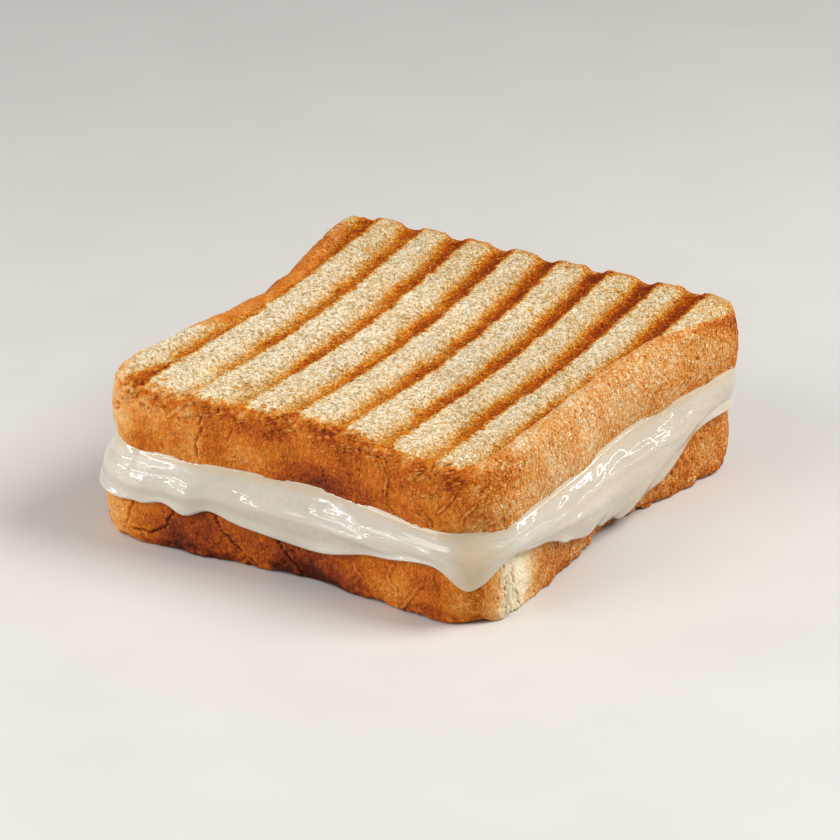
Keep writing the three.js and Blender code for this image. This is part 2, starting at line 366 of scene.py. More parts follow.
# Cracks, below 0, and creases, above 0: how deep, how wide, and the places and heights they run through.
TOP_LINES = (
    (-0.55, 0.28, ((0.256, 13.5), (0.25, 7.8), (0.244, 2.5))),
    (-0.35, 0.22, ((0.33, 12), (0.318, 8), (0.335, 5))),
    (-0.3, 0.22, ((0.55, 8), (0.56, 4))),
    (0.45, 0.3, ((0.7, 13), (0.724, 10), (0.716, 5.2), (0.744, 0.6))),
    (0.4, 0.28, ((0.935, 12.4), (0.925, 10.6), (0.888, 7.6), (0.87, 6.6))),
    (0.34, 0.3, ((0.99, 8.6), (0.964, 6.7), (0.95, 4.6), (0.958, 2.6))),
    (0.4, 0.28, ((0.81, 6.5), (0.836, 4.4), (0.858, 1))),
    (0.3, 0.3, ((0.964, 6.5), (0.99, 4.9), (1.02, 4.4))),
    (0.35, 0.28, ((0.79, 11), (0.82, 9.6), (0.85, 10.4))),
    (0.3, 0.28, ((1.07, 5), (1.076, 0.5))),
    (0.3, 0.3, ((0.205, 15), (0.18, 11.5))),
    (-0.35, 0.25, ((1.45, 12), (1.49, 8.5))),
    (-0.5, 0.28, ((2.3, 13), (2.31, 7), (2.34, 3))),
    (-0.4, 0.25, ((2.72, 11), (2.68, 5))),
    (0.25, 0.3, ((2.5, 8), (2.47, 2))),
    (-0.5, 0.3, ((3.2, 14), (3.22, 8), (3.19, 3))),
    (0.25, 0.3, ((3.42, 10), (3.45, 3))),
    (-0.4, 0.25, ((3.66, 10), (3.7, 4))),
)
BOTTOM_LINES = (
    (-0.5, 0.26, ((0.118, 15), (0.102, 7), (0.078, 2))),
    (-0.55, 0.28, ((0.215, 12), (0.19, 6.4), (0.15, 3.6), (0.11, 4))),
    (-0.6, 0.28, ((0.285, 13), (0.322, 7.9), (0.372, 3.2), (0.4, 1))),
    (-0.5, 0.28, ((0.44, 11), (0.466, 6.7), (0.5, 2))),
    (-0.4, 0.24, ((0.466, 6.7), (0.49, 7.2))),
    (-0.4, 0.24, ((0.372, 3.2), (0.35, 0.5))),
    (0.4, 0.3, ((0.83, 9), (0.815, 7), (0.78, 1))),
    (0.35, 0.28, ((0.862, 12), (0.872, 9.5), (0.888, 8))),
    (0.35, 0.3, ((0.75, 11.5), (0.735, 8), (0.76, 5.5))),
    (0.3, 0.28, ((0.64, 9), (0.66, 6), (0.64, 3))),
    (-0.6, 0.26, ((1.084, 14), (1.077, 8), (1.084, 4), (1.08, 0.4))),
    (-0.55, 0.26, ((1.106, 12), (1.118, 7.5), (1.14, 3), (1.15, 0.4))),
    (-0.3, 0.22, ((1.055, 12), (1.052, 3))),
    (0.4, 0.5, ((1.096, 12), (1.1, 7), (1.11, 1))),
    (-0.4, 0.25, ((1.75, 9), (1.78, 4))),
    (-0.55, 0.28, ((2.2, 13), (2.25, 6), (2.22, 2))),
    (-0.5, 0.28, ((2.6, 11), (2.63, 7), (2.6, 2))),
    (-0.5, 0.28, ((3.1, 11), (3.06, 4))),
    (0.3, 0.3, ((3.3, 9), (3.33, 3))),
    (-0.55, 0.3, ((3.5, 13), (3.53, 8), (3.5, 3))),
    (-0.4, 0.25, ((3.85, 10), (3.8, 4))),
)
LINE_WINDOW = 0.2  # how far along the outline from its first point a line is looked for
LIP_OF_CRACK = 0.5  # how high a crack's lips stand, as a share of its depth; the lips are also painted paler, as highlights
DIP_BY_CREASE = 0.45  # how deep the crust dips beside a crease, as a share of its height; the dips are also painted darker, as shade
# As shares of a line's width: how far off it is felt, how wide a crack is, how far off its lips and a
# crease's dips lie, and how wide those are.
LINE_REACH, CRACK_WIDTH, LIP_AT, DIP_AT, BESIDE_WIDTH = 4, 0.85, 2.1, 2.2, 0.9
FAR = 99.0


def distance_to_run(across, up, points):
    """How far a point of the wall is from a bent line, both in millimetres along and up."""
    nearest = FAR
    for (start, low), (end, high) in zip(points, points[1:]):
        along = (end - start) * SIDE_LENGTH
        rise = high - low
        away = across - start * SIDE_LENGTH
        share = (away * along + (up - low) * rise) / (along * along + rise * rise)
        share = min(max(share, 0), 1)
        nearest = min(nearest, math.hypot(away - share * along, up - low - share * rise))
    return nearest


def lines_on_wall(lines, place, x, y, z):
    """How deep the cracks are at a point of the wall, and how high the creases."""
    crack = crease = 0.0
    wander = 0.5 * rough(x, y, z, 2.6, 80) + 0.25 * rough(x, y, z, 1.1, 81)
    for height, width, points in lines:
        if abs(place - points[0][0]) < LINE_WINDOW:
            away = distance_to_run(place * SIDE_LENGTH + 1.6 * wander, z + wander, points)
            if away < LINE_REACH * width:
                beside = BESIDE_WIDTH * width
                if height < 0:
                    crack = max(crack, -height * bell(away, 0, CRACK_WIDTH * width))
                    crease = max(crease, -LIP_OF_CRACK * height * bell(away, LIP_AT * width, beside))
                else:
                    crease = max(crease, height * bell(away, 0, width))
                    crack = max(crack, DIP_BY_CREASE * height * bell(away, DIP_AT * width, beside))
    return crack, crease


def ledges(x, y, z):
    """Flaky crust, one to five millimetres across, from about -1, hollow, to 1, standing."""
    warp = 1.2 * rough(x, y, z, 3, 7)
    large = rough(x + warp, y - warp, z + warp, 2.1, 1)
    return 1.3 * large + 0.6 * rough(x, y, z, 1.15, 2) + 0.5 * rough(x, y, z, 4.5, 6)


random.seed(5)
# Holes in the crumb: where, how large, how long for their width, and which way they run.
CRUMB_HOLES = [
    (
        random.uniform(-54, 56),
        random.uniform(-60, 54),
        random.uniform(0.35, 0.95),
        random.uniform(1, 2.6),
        random.uniform(0, math.pi),
    )
    for _ in range(150)
]
CRUMB_HOLES += [
    (-37, -55, 1.7, 1.1, 0),
    (28, 43.5, 0.8, 3.4, 0.35),
    (30, 38, 0.7, 3, 0.3),
    (-19.5, -46.5, 1.2, 1.2, 0.4),
]


def crumb_hole(x, y):
    """How deep into a hole a point of the crumb is, from 0 to 1."""
    depth = 0.0
    for hole_x, hole_y, radius, longer, turn in CRUMB_HOLES:
        reach = 2 * radius * longer
        if abs(x - hole_x) < reach and abs(y - hole_y) < reach:
            along = (x - hole_x) * math.cos(turn) + (y - hole_y) * math.sin(turn)
            off = (y - hole_y) * math.cos(turn) - (x - hole_x) * math.sin(turn)
            depth = max(depth, bell(math.hypot(along / longer, off), 0, 0.75 * radius) * min(radius, 1))
    return depth


def crumb_relief(x, y):
    """The open grain of the crumb: fine grains, small pits and soft hollows."""
    grain = 0.34 * rough(x, y, 0, 0.95, 3) + 0.3 * rough(x, y, 0, 2.2, 9) + 0.25 * rough(x, y, 0, 6, 10)
    pits = 0.34 * smooth(rough(x, y, 5, 1.45, 6), 0.2, 0.3)
    return grain - pits


# ---- A slice as a mesh ----
# What the bread's material reads at every point: how brown, painted light and shade included, share of
# crust, depth of crack, which the material also paints darker as shade, and how sandy.
LOOKS = ("toast_and_shade", "crust", "crack", "sand")


def add_walls(block, rim, layers, way):
    """Draws walls up, for a way of 1, or down from a rim in layers 1 high, and closes the block."""
    skirt = bmesh.ops.extrude_edge_only(block, edges=rim)["geom"]
    hem = [item for item in skirt if isinstance(item, bmesh.types.BMVert)]
    bmesh.ops.translate(block, verts=hem, vec=(0, 0, way * layers))
    uprights = [edge for edge in block.edges if abs(edge.verts[0].co.z - edge.verts[1].co.z) > 0.5]
    bmesh.ops.subdivide_edges(block, edges=uprights, cuts=layers - 1, use_grid_fill=True)
    bmesh.ops.holes_fill(block, edges=[edge for edge in block.edges if edge.is_boundary], sides=0)


def wall_profile(piece):
    """Rows of a slice's wall from its face to the far side: inset, height and which way it faces."""
    thickness, above, below = piece["thickness"], piece["round_above"], piece["round_below"]
    rows = []
    turns = max(2, round(above * math.pi / 2 / POINT_SPACING))
    for row in range(turns + 1):
        turn = row / turns * math.pi / 2
        rows.append((above * (1 - math.sin(turn)), thickness - above * (1 - math.cos(turn)), turn))
    walls = round((thickness - above - below) / POINT_SPACING)
    for row in range(1, walls):
        rows.append((0, mix(thickness - above, below, row / walls), math.pi / 2))
    turns = max(2, round(below * math.pi / 2 / POINT_SPACING))
    for row in range(turns + 1):
        turn = row / turns * math.pi / 2
        rows.append((below * (1 - math.cos(turn)), below * (1 - math.sin(turn)), math.pi / 2 + turn))
    return rows


def finish_mesh(name, block):
    """Makes an object of a block, with its faces turned outwards."""
    bmesh.ops.recalc_face_normals(block, faces=block.faces)
    if block.calc_volume(signed=True) < 0:
        bmesh.ops.reverse_faces(block, faces=block.faces)
    mesh = bpy.data.meshes.new(name)
    block.to_mesh(mesh)
    block.free()
    mesh.shade_smooth()
    piece = bpy.data.objects.new(name, mesh)
    bpy.context.scene.collection.objects.link(piece)
    return piece


def on_table(x, y, z):
    """A point of the sandwich's own plan, set down on the table in metres."""
    return (x - MIDDLE[0]) * MILLIMETRE, (y - MIDDLE[1]) * MILLIMETRE, z * MILLIMETRE


def slice_mesh(name, piece, grid, shape_point):
    """Builds a slice from its grilled face, and lets shape_point move every point and say its looks.

    The block's points start at (u, v, -row), where row 0 is the face and the last ones close the far side.
    """
    profile = wall_profile(piece)
    last = len(profile) - 1
    block = bmesh.new()
    bmesh.ops.create_grid(block, x_segments=grid[0], y_segments=grid[1], size=1)
    add_walls(block, [edge for edge in block.edges if edge.is_boundary], last + CAP_RINGS, -1)
    looks = [block.verts.layers.float.new(look) for look in LOOKS]
    for vert in block.verts:
        u, v, row = vert.co.x, vert.co.y, round(-vert.co.z)
        if row <= last:
            inset, height, facing = profile[row]
        else:
            inset = profile[last][0] + CAP_SPACING * (row - last)
            height, facing = profile[last][1], math.pi
        place, values = shape_point(piece, u, v, row, inset, height, facing)
        vert.co = on_table(*place)
        for look, value in zip(looks, values):
            vert[look] = value
    return finish_mesh(name, block)


def edge_distance(piece, u, v):
    """How far in from the rim a point of a slice's face is."""
    return min((1 - abs(u)) * piece["half"][0], (1 - abs(v)) * piece["half"][1])


def on_right(u, v):
    """How surely a point is on the right side of a slice, from 0 to 1."""
    return smooth(u - abs(v), -0.12, 0.2)


def ragged(x, y, z, seed):
    """How the line between crumb and crust strays, in millimetres."""
    return 1.5 * rough(x, y, z, 3.2, seed) + 1.4 * rough(x, y, z, 1.3, seed + 1)


def pushed_out(piece, u, v, inset, at, relief):
    """Where a point at a place of the wall lands once the wall's bulge and its relief have moved it."""
    reach = wall_reach(piece, *at) if inset < 1 else 0
    return plan_point(piece, u, v, inset - reach - relief)


def skin_relief(x, y, z, seed):
    """The crust's leathery skin: soft dents, wrinkles and a sandy grain."""
    wrinkles = 0.2 * abs(rough(x, y, z, 3.2, seed)) + 0.12 * rough(x, y, z, 1.7, seed + 1)
    return 0.35 * rough(x, y, z, 8, seed + 2) - wrinkles + 0.16 * rough(x, y, z, 0.9, seed + 3)


def top_point(piece, u, v, row, inset, height, facing):
    """A point of the upper slice, and its looks. It faces up at 0 and down at pi."""
    out, up = math.sin(facing), math.cos(facing)
    x, y = plan_point(piece, u, v, inset)
    z = height
    place = place_of(u, v)
    down = piece["thickness"] - z - (0 if row else edge_distance(piece, u, v))
    right, left = on_right(u, v), on_right(-u, v)
    front = smooth(-y, 30, 22) * (1 - 0.85 * right)  # the press broke up the front edge most
    craggy = mix(0.15, 1, front)

    # How far past the rim a point is, and the share of crust there. At the front the crumb carries on over
    # the shoulder, so this counts along the round edge.
    rim = right * from_table(RIGHT_RIM, y) + left * from_table(LEFT_RIM, y)
    arc = piece["round_above"] * min(facing, math.pi / 2) + max(down - piece["round_above"], 0)
    fallen = mix(down, (arc if row else down) - FRONT_OVERHANG, front)
    crust = smooth(fallen + rim + craggy * ragged(x, y, z, 11), -0.5, mix(1.1, 0.6, right))
    if up < -0.5:
        crust *= 1 - smooth(-up, 0.5, 0.5)

    # Relief: an open crumb, a leathery crust with cracks and creases, and a craggy shoulder between them.
    shoulder = bell(fallen, 1.2, 2.6) * craggy
    ledge = ledges(x, y, z) if fallen > -7 else 0
    crack, crease = lines_on_wall(TOP_LINES, place, x, y, z) if row and up > -0.9 else (0, 0)
    hole = crumb_hole(x, y) if up > 0.3 else 0
    relief = (1 - crust) * (crumb_relief(x, y) - 0.9 * hole if up > 0.3 else 0)
    relief += crust * (skin_relief(x, y, z, 14) - crack + crease) + 0.34 * shoulder * ledge
    if row:
        x, y = pushed_out(piece, u, v, inset, (x, y, z), relief * out)

    # Grooves, and the dish of the face.
    wobble = 0.45 * rough(x, y, 0, 4.5, 30) + 0.65 * rough(x, y, 0, 1.1, 31)
    number, across = across_groove(x + wobble, y)
    pressed = groove_share(across, y) * smooth(z, 12, NOTCH_ABOVE) * (1 - 0.7 * right * crust)
    pressed *= 1 - 0.8 * left * smooth(down, -3, 4)
    dish = DISH * math.cos(1.4 * x / piece["half"][0]) * math.cos(1.4 * y / piece["half"][1])
    dish = dish * z / piece["thickness"]
    level = TOP_SLICE_LEVEL + z - GROOVE_ABOVE * pressed - dish + top_bend(x, y) + relief * up

    # Browning of the crumb and of the crust, with painted light and shade: the bands' lit and shaded
    # slopes, darker holes, cracks and hollow ledges, paler creases and standing ledges.
    back = smooth(y, 44, 12)
    crumb_toast_and_shade = band_tone(number, across, x, y, 0.36) + 0.16 * back + 0.12 * rough(x, y, 0, 12, 33)
    crumb_toast_and_shade += 0.09 * smooth(y, 0, 45) + 0.04 * smooth(x, 0, 40)
    # The crumb's holes are painted darker, as shade in them; the strip by the front rim is browner.
    crumb_toast_and_shade += 0.42 * hole + 0.3 * bell(fallen, 0.3, 1.6) * front
    crust_toast_and_shade = 0.42 + crust_tone(TOP_CRUST_TONES, TOP_SCORCHES, place, z)
    crust_toast_and_shade += 0.12 * rough(x, y, z, 9, 34)
    crust_toast_and_shade += bell(fallen, 1.6, 2.6) * front * (0.04 + 0.32 * pressed)
    crust_toast_and_shade += 0.08 * left * smooth(y, -25, 30)
    # Standing ledges are painted paler, as highlights, and hollow ones darker, as shade.
    crust_toast_and_shade -= shoulder * (0.32 * max(ledge, 0) + 0.14 * min(ledge, 0))
    # Cracks and the dips beside creases are painted darker, as shade; creases and crack lips paler, as
    # highlights.
    crust_toast_and_shade += 0.45 * crack - 0.5 * crease
    sand = mix(0.4, 1, max(right, smooth(y, 20, 20)))
    return (x, y, level), (mix(crumb_toast_and_shade, crust_toast_and_shade, crust), crust, crack, sand)


def bottom_point(piece, u, v, row, inset, height, facing):
    """A point of the lower slice, and its looks. Its profile starts at the grilled face, underneath."""
    out, up = math.sin(facing), -math.cos(facing)
    z = piece["thickness"] - height
    x, y = plan_point(piece, u, v, inset)
    place = place_of(u, v)
    above = z - (0 if row else edge_distance(piece, u, v))
    crust = smooth(above + 0.4 * ragged(x, y, z, 41), -1.2, 1.1)
    torn = smooth(place, 1.0, 0.04) * (1 - smooth(place, 1.16, 0.09))
    right = on_right(u, v)

    # Relief, as on the upper slice, and lumps along the right side's lower edge.
    ledge = ledges(x, y, z) if above > -5 else 0
    crack, crease = lines_on_wall(BOTTOM_LINES, place, x, y, z) if row and inset < 3 else (0, 0)
    relief = (1 - crust) * (crumb_relief(x, y) * 0.6 if up < -0.3 else 0)
    relief += crust * (skin_relief(x, y, z, 44) - crack + crease) + 0.25 * bell(above, 1, 2.6) * ledge
    relief += 1.3 * right * bell(z, 0.6, 2) * rough(x, y, z, 4, 67)
    if row:
        x, y = pushed_out(piece, u, v, inset, (x, y, z), relief * out)

    # Grooves. The slice rests on the strips between them, so nothing stands out below.
    wobble = 0.9 * rough(x, y, 0, 3.4, 60) + 0.6 * rough(x, y, 0, 1.3, 61)
    number, across = across_groove(x + wobble, y)
    pressed = groove_share(across, y) * (1 - smooth(z, 0, NOTCH_BELOW))
    level = z + GROOVE_BELOW * pressed + bottom_bend(y, z)
    level += max(-relief, 0) if up < -0.3 else relief * up

    # Browning of the crumb and of the crust, with painted light and shade: the bands' lit and shaded
    # slopes, darker cracks and hollow ledges, paler creases and standing ledges.
    band = band_tone(number, -across, x, y, 0)
    crumb_toast_and_shade = 0.95 * band + 0.16 + 0.16 * rough(x, y, 0, 12, 63)
    crust_toast_and_shade = 0.5 + crust_tone(BOTTOM_CRUST_TONES, BOTTOM_SCORCHES, place, z)
    # Standing ledges are painted paler, as highlights, and hollow ones darker, as shade.
    crust_toast_and_shade += 0.12 * rough(x, y, z, 9, 64) + 0.1 * bell(z, 0, 3) - 0.15 * bell(above, 1, 2.6) * ledge
    bare = from_table(TORN_CORNER, place + 0.006 * rough(x, y, z, 3, 66))
    bare += 0.06 * rough(x, y, z, 2.5, 65)
    # Cracks and the dips beside creases are painted darker, as shade; creases and crack lips paler, as
    # highlights.
    crust_toast_and_shade = mix(crust_toast_and_shade, bare, torn) + 0.45 * crack - 0.4 * crease
    sand = mix(0.34, 1, right) * (1 - 0.7 * torn)
    return (x, y, max(level, 0)), (mix(crumb_toast_and_shade, crust_toast_and_shade, crust), crust, crack, sand)


# ---- Crumbs and flakes ----
BATCH = 100  # scraps made at a time, before they join the rest


def place_scraps(name, scraps):
    """Joins small scraps of bread as one mesh. Each is: place, radii and looks."""
    joined = bmesh.new()
    for first in range(0, len(scraps), BATCH):
        block = bmesh.new()
        looks = [block.verts.layers.float.new(look) for look in LOOKS]
        for place, radii, values in scraps[first : first + BATCH]:
            turned = Matrix.Rotation(random.uniform(0, 2 * math.pi), 4, "Z")
            turned @= Matrix.Rotation(random.uniform(-0.6, 0.6), 4, "X")
            where = Matrix.Translation(on_table(*place)) @ turned
            where @= Matrix.Diagonal([radius * MILLIMETRE for radius in radii] + [1])
            made = bmesh.ops.create_icosphere(block, subdivisions=1, radius=1, matrix=where)["verts"]
            for vert in made:
                for look, value in zip(looks, values):
                    vert[look] = value
        batch = bpy.data.meshes.new("batch")
        block.to_mesh(batch)
        block.free()
        joined.from_mesh(batch)
        bpy.data.meshes.remove(batch)
    return finish_mesh(name, joined)


def loose_crumbs(count):
    """Grains of crumb that stand up from the grilled face."""
    scraps = []
    face = wall_profile(TOP_SLICE)[0]
    for _ in range(count):
        u, v = random.uniform(-0.99, 0.99), random.uniform(-0.99, 0.99)
        (x, y, z), (toast_and_shade, crust, _, _) = top_point(TOP_SLICE, u, v, 0, *face)
        size = random.uniform(0.16, 0.36)
        if crust < 0.5:
            radii = (size * random.uniform(1, 1.8), size, 0.8 * size)
            paler = mix(random.uniform(0.5, 0.95), 1, smooth(-y, 40, 12))
            scraps.append(((x, y, z + 0.1 * size), radii, (toast_and_shade * paler, 0, 0, 1)))
    return scraps


def crust_flakes(count):
    """Flakes that lifted from the front edge, where the press broke up the crust."""
    profile = wall_profile(TOP_SLICE)
    scraps = []
    for _ in range(count):
        u = random.uniform(-0.97, 0.9)
        row = min(max(int(random.gauss(12, 5)), 3), 30)  # most lie just below the shoulder
        (x, y, z), (toast_and_shade, _, _, _) = top_point(TOP_SLICE, u, -1, row, *profile[row])
        size = random.uniform(0.35, 0.9)
        radii = (size * random.uniform(1, 1.9), size, size * random.uniform(0.25, 0.45))
        brown = mix(toast_and_shade, 0.48, 0.5) + random.choice((-0.12, -0.05, 0, 0.05))
        scraps.append(((x, y + 0.15 * size, z), radii, (min(max(brown, 0.3), 0.64), 1, 0, 0.4)))
    return scraps


# ---- The cheese ----
def lip_heights(place):
    """Height of the lip: first without its small drips, and then with them."""
    body = LIP_LEVEL
    for at, reach, drop in RUNS:
        body -= drop * bell(round_the_outline(place, at), 0, reach)
    lip = body
    for at, reach, drop in DRIPS:
        lip -= drop * bell(round_the_outline(place, at), 0, reach)
    return body, lip


def cheese_fold(place, z):
    """How far the drawn-out folds stand out at a place and height."""
    out = 0.0
    for height, width, points in CHEESE_FOLDS:
        start, end = points[0][0], points[-1][0]
        if start < place < end:
            fade = smooth(place, start, FOLD_END) * (1 - smooth(place, end - FOLD_END, FOLD_END))
            out += height * fade * bell(distance_to_run(place * SIDE_LENGTH, z, points), 0, width)
    return out


def cheese_profile(place):
    """Control points from the middle underneath, out, down inside the lip, up the outside and back.

    Each is: share of the way out, distance out from the crust, height, which slice it follows from 0,
    lower, to 1, upper, and whether it follows the crust's own dents.
    """
    body, lip = lip_heights(place)
    floor = BOTTOM_SLICE["thickness"] + CLEARANCE
    ceiling = TOP_SLICE_LEVEL - CLEARANCE
    shoulder = BOTTOM_SLICE["thickness"] - BOTTOM_SLICE["round_above"]
    bulge = 1.8 + 0.2 * (BOTTOM_SLICE["thickness"] - body)
    for at, reach, amount in CHEESE_BULGES:
        bulge += amount * bell(round_the_outline(place, at), 0, reach)
    lip_size = 1 - 0.5 * bell(round_the_outline(place, THIN_LIP), 0, THIN_LIP_REACH)
    inside = [
        (0.02, -2, floor, 0, 0),
        (0.5, -2, floor, 0, 0),
        (1, -2, floor, 0, 0),
        (1, -0.1, floor - 0.1, 0, 0),
        (1, 0.5, shoulder, 0, 1),
        (1, 0.5, mix(shoulder, lip, 0.5), 0, 1),
        (1, 0.55, lip + 0.7, 0, 1),
    ]
    outside = [
        (1, 0.5 + 0.7 * lip_size, lip, 0, 1),
        (1, 0.5 + 1.6 * lip_size, lip + 0.6, 0, 1),
        (1, 0.85 * bulge, mix(mix(body, lip, 0.4), ceiling, 0.23), 0.23, 0),
        (1, bulge, mix(body, ceiling, 0.46), 0.46, 0),
        (1, 0.82 * bulge, mix(body, ceiling, 0.68), 0.66, 0),
        (1, 0.45 * bulge, mix(body, ceiling, 0.88), 0.86, 0),
        (1, 0.2, ceiling + 1.1, 1, 0),
        (1, -0.3, ceiling + 2, 1, 0),
        (1, -1.8, ceiling + 1.6, 1, 0),
    ]
    over = [
        (0.95, -1, ceiling, 1, 0),
        (0.5, -1, ceiling, 1, 0),
        (0.02, -1, ceiling, 1, 0),
    ]
    return inside, outside, over


def eased(before, start, end, after, share):
    """A value between start and end on a curve that also heeds the values before and after them."""
    bend = 2 * before - 5 * start + 4 * end - after
    twist = 3 * start - before - 3 * end + after
    return 0.5 * (
        2 * start + (end - before) * share + bend * share * share + twist * share * share * share
    )


def through(points, steps):
    """A smooth run through points, with as many steps between each two."""
    run = []
    last = len(points) - 1
    for number in range(last):
        before, start = points[max(number - 1, 0)], points[number]
        end, after = points[number + 1], points[min(number + 2, last)]
        for step in range(steps):
            run.append(tuple(eased(*four, step / steps) for four in zip(before, start, end, after)))
    run.append(points[-1])
    return run


def cheese_waves(place, x, y, z):
    """How far the cheese's skin stands out: soft lumps and long folds, and ripples on the runny side."""
    side = bell(round_the_outline(place, RUNNY_SIDE), 0, RUNNY_SIDE_REACH)
    soft = mix(0.3, 0.42, side) * silky(0.6 * x, 0.6 * y, z, 9, 70)
    soft += mix(0.03, 0.1, side) * silky(x, y, z, 3.6, 71)
    soft += cheese_fold(place, z)
    folds = mix(0.07, 0.2, side) * silky(x, y, 4.2 * z, 6, 73)
    folds += mix(0.03, 0.06, side) * silky(x, y, 2 * z, 2, 74)
    return soft + folds


def cheese_thinness_and_shade(place, follow):
    """How much the bread shows through under the upper slice and at the clear corner, and on the right a
    painted shade that darkens and warms the cheese.
    """
    corner = bell(round_the_outline(place, CLEAR_CORNER), 0, CLEAR_CORNER_REACH)
    warmer = max(0.8 * smooth(follow, 0.9, 0.1), corner * mix(1, 0.5, abs(follow - 0.4)))
    # The share on the right side is a painted shade.
    return max(warmer, 0.35 * smooth(place, 1.1, 0.3) * (1 - smooth(place, 1.9, 0.2)))


def cheese_mesh(name):
    """Builds the cheese as rings round the sandwich, from the middle underneath to the middle on top."""
    inside, outside, over = cheese_profile(0)
    rings = len(inside) + (len(outside) - 1) * CHEESE_STEPS + 1 + len(over)
    block = bmesh.new()
    bmesh.ops.create_circle(block, segments=CHEESE_COLUMNS, radius=1, cap_ends=False)
    add_walls(block, list(block.edges), rings - 1, 1)
    thin_and_shade = block.verts.layers.float.new("thin_and_shade")
    profiles = {}
    for vert in block.verts:
        turn = math.atan2(vert.co.y, vert.co.x) / (2 * math.pi) % 1
        place = round(turn * CHEESE_COLUMNS) / CHEESE_COLUMNS * 4 % 4
        if place not in profiles:
            first, middle, last = cheese_profile(place)
            profiles[place] = first + through(middle, CHEESE_STEPS) + last
        ring = round(vert.co.z)
        within, out, z, follow, dents = profiles[place][ring]
        u, v = square(place)
        wall = plan_point(BOTTOM_SLICE, u, v, 0)
        if dents > 0:
            out += dents * wall_reach(BOTTOM_SLICE, *wall, z)
        if len(inside) <= ring < rings - len(over):
            waves = cheese_waves(place, *wall, z)
            out += waves * smooth(follow, 0.05, 0.2) * (1 - smooth(follow, 0.8, 0.2))
        lower = plan_point(BOTTOM_SLICE, u * within, v * within, -out)
        upper = plan_point(TOP_SLICE, u * within, v * within, -out)
        x = mix(lower[0], upper[0], follow)
        y = mix(lower[1], upper[1], follow)
        vert.co = on_table(x, y, z + mix(bottom_bend(y, z), top_bend(x, y), follow))
        vert[thin_and_shade] = cheese_thinness_and_shade(place, follow)
    return finish_mesh(name, block)


# ---- Materials ----
MIX_SHARE, MIX_FIRST, MIX_SECOND, MIX_RESULT = 0, 6, 7, 2  # sockets of a node that mixes colours


def feed(tree, socket, value):
    """Joins a socket to another node's output, or sets its value."""
    if isinstance(value, bpy.types.NodeSocket):
        tree.links.new(value, socket)
    else:
        socket.default_value = value


def add_node(tree, kind, inputs=None, **settings):
    made = tree.nodes.new(kind)
    for name, value in settings.items():
        setattr(made, name, value)
    for name, value in (inputs or {}).items():
        feed(tree, made.inputs[name], value)
    return made


def attribute(tree, name):
    """A value on the mesh's own points."""
    return add_node(tree, "ShaderNodeAttribute", attribute_name=name).outputs["Fac"]


def grain(tree, where, size, detail=2.0, roughness=0.5, distortion=0.0):
    """Noise with lumps of one size, in millimetres."""
    made = add_node(
        tree,
        "ShaderNodeTexNoise",
        {
            "Vector": where,
            "Scale": 1000 / size,
            "Detail": detail,
            "Roughness": roughness,
            "Distortion": distortion,
        },
    )
    return made.outputs["Fac"]


def calculate(tree, operation, *values, clamp=False):
    made = add_node(tree, "ShaderNodeMath", operation=operation, use_clamp=clamp)
    for number, value in enumerate(values):
        feed(tree, made.inputs[number], value)
    return made.outputs[0]


def ranged(tree, value, low, high, to_low=0.0, to_high=1.0):
    """Spreads a value smoothly from one range to another. A low above its high turns it round."""
    made = add_node(
        tree,
        "ShaderNodeMapRange",
        {"Value": value, "From Min": low, "From Max": high, "To Min": to_low, "To Max": to_high},
        interpolation_type="SMOOTHSTEP",
    )
    return made.outputs[0]


def ramp(tree, value, stops):
    made = add_node(tree, "ShaderNodeValToRGB", {"Fac": value})
    elements = made.color_ramp.elements
    while len(elements) < len(stops):
        elements.new(0.5)
    for element, (at, colour) in zip(elements, stops):
        element.position = at
        element.color = (*colour, 1)
    return made.outputs["Color"]


def blended(tree, share, first, second, how="MIX"):
    made = add_node(tree, "ShaderNodeMix", data_type="RGBA", blend_type=how)
    feed(tree, made.inputs[MIX_SHARE], share)
    for number, colour in ((MIX_FIRST, first), (MIX_SECOND, second)):
        opaque = colour if isinstance(colour, bpy.types.NodeSocket) else (*colour, 1)
        feed(tree, made.inputs[number], opaque)
    return made.outputs[MIX_RESULT]


def new_material(name):
    material = bpy.data.materials.new(name)
    material.use_nodes = True
    tree = material.node_tree
    shader = tree.nodes["Principled BSDF"]
    where = add_node(tree, "ShaderNodeTexCoord").outputs["Object"]
    return material, tree, shader, where


# From untoasted to burnt.
CRUMB_COLOURS = (
    (0.0, (0.97, 0.88, 0.68)),
    (0.16, (0.92, 0.73, 0.45)),
    (0.33, (0.84, 0.50, 0.14)),
    (0.5, (0.77, 0.30, 0.012)),
    (0.68, (0.65, 0.15, 0.003)),
    (0.85, (0.50, 0.085, 0.002)),
    (1.0, (0.27, 0.04, 0.002)),
)
CRUST_COLOURS = (
    (0.0, (0.98, 0.86, 0.60)),
    (0.18, (0.88, 0.54, 0.24)),
    (0.36, (0.80, 0.35, 0.08)),
    (0.52, (0.68, 0.19, 0.012)),
    (0.68, (0.46, 0.09, 0.008)),
    (0.84, (0.24, 0.036, 0.006)),
    (1.0, (0.07, 0.008, 0.002)),
)


PIT_SHADE = ((0.0, (0.64, 0.50, 0.29)), (1.0, (1.0, 1.0, 1.0)))
DRIFT = 0.003  # how far the plates of a crazed crust are bent out of shape, in metres


